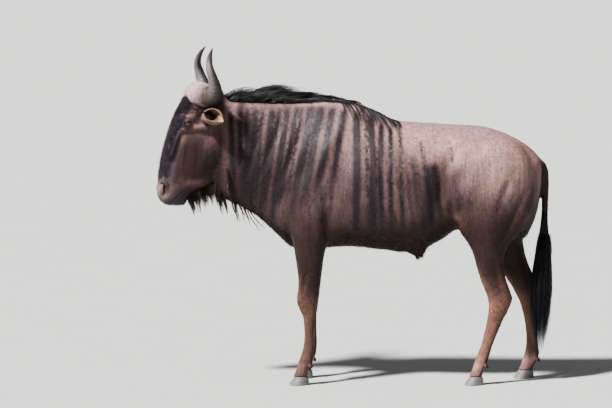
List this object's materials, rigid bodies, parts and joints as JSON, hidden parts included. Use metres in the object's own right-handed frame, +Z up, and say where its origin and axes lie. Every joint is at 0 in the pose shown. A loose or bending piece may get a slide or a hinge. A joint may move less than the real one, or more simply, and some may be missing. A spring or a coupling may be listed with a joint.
{
  "type": "blue wildebeest",
  "caption": "Still, life-size young blue wildebeest bull that stands with its head low, with curved horns, a dark mane, a beard and a long tail tassel.",
  "frame": {"origin": "centre of the box round the animal, at the ground under its hooves", "axes": "+X towards the tail, -Y towards the animal's left side, +Z up"},
  "size_m": [1.7924, 0.4398, 1.5128],
  "materials": {
    "hide": "matte",
    "long_hair": "satin",
    "horn": "satin",
    "hoof": "matte",
    "eye": "gloss"
  },
  "bodies": {
    "root": {"head": "hide", "neck": "hide", "torso": "hide", "fore_leg_left_upper": "hide", "fore_leg_right_upper": "hide", "hind_leg_left_upper": "hide", "hind_leg_right_upper": "hide", "fore_leg_left_lower": "hide", "fore_leg_right_lower": "hide", "hind_leg_left_lower": "hide", "hind_leg_right_lower": "hide", "ear_left": "hide", "ear_right": "hide", "tail": "hide", "mane": "long_hair", "mane_back": "long_hair", "beard_jaw": "long_hair", "beard_throat": "long_hair", "tail_tassel": "long_hair", "horn_left": "horn", "horn_right": "horn", "fore_hoof_left": "hoof", "fore_hoof_right": "hoof", "hind_hoof_left": "hoof", "hind_hoof_right": "hoof", "eye_left": "eye", "eye_right": "eye"}
  },
  "joints": []
}
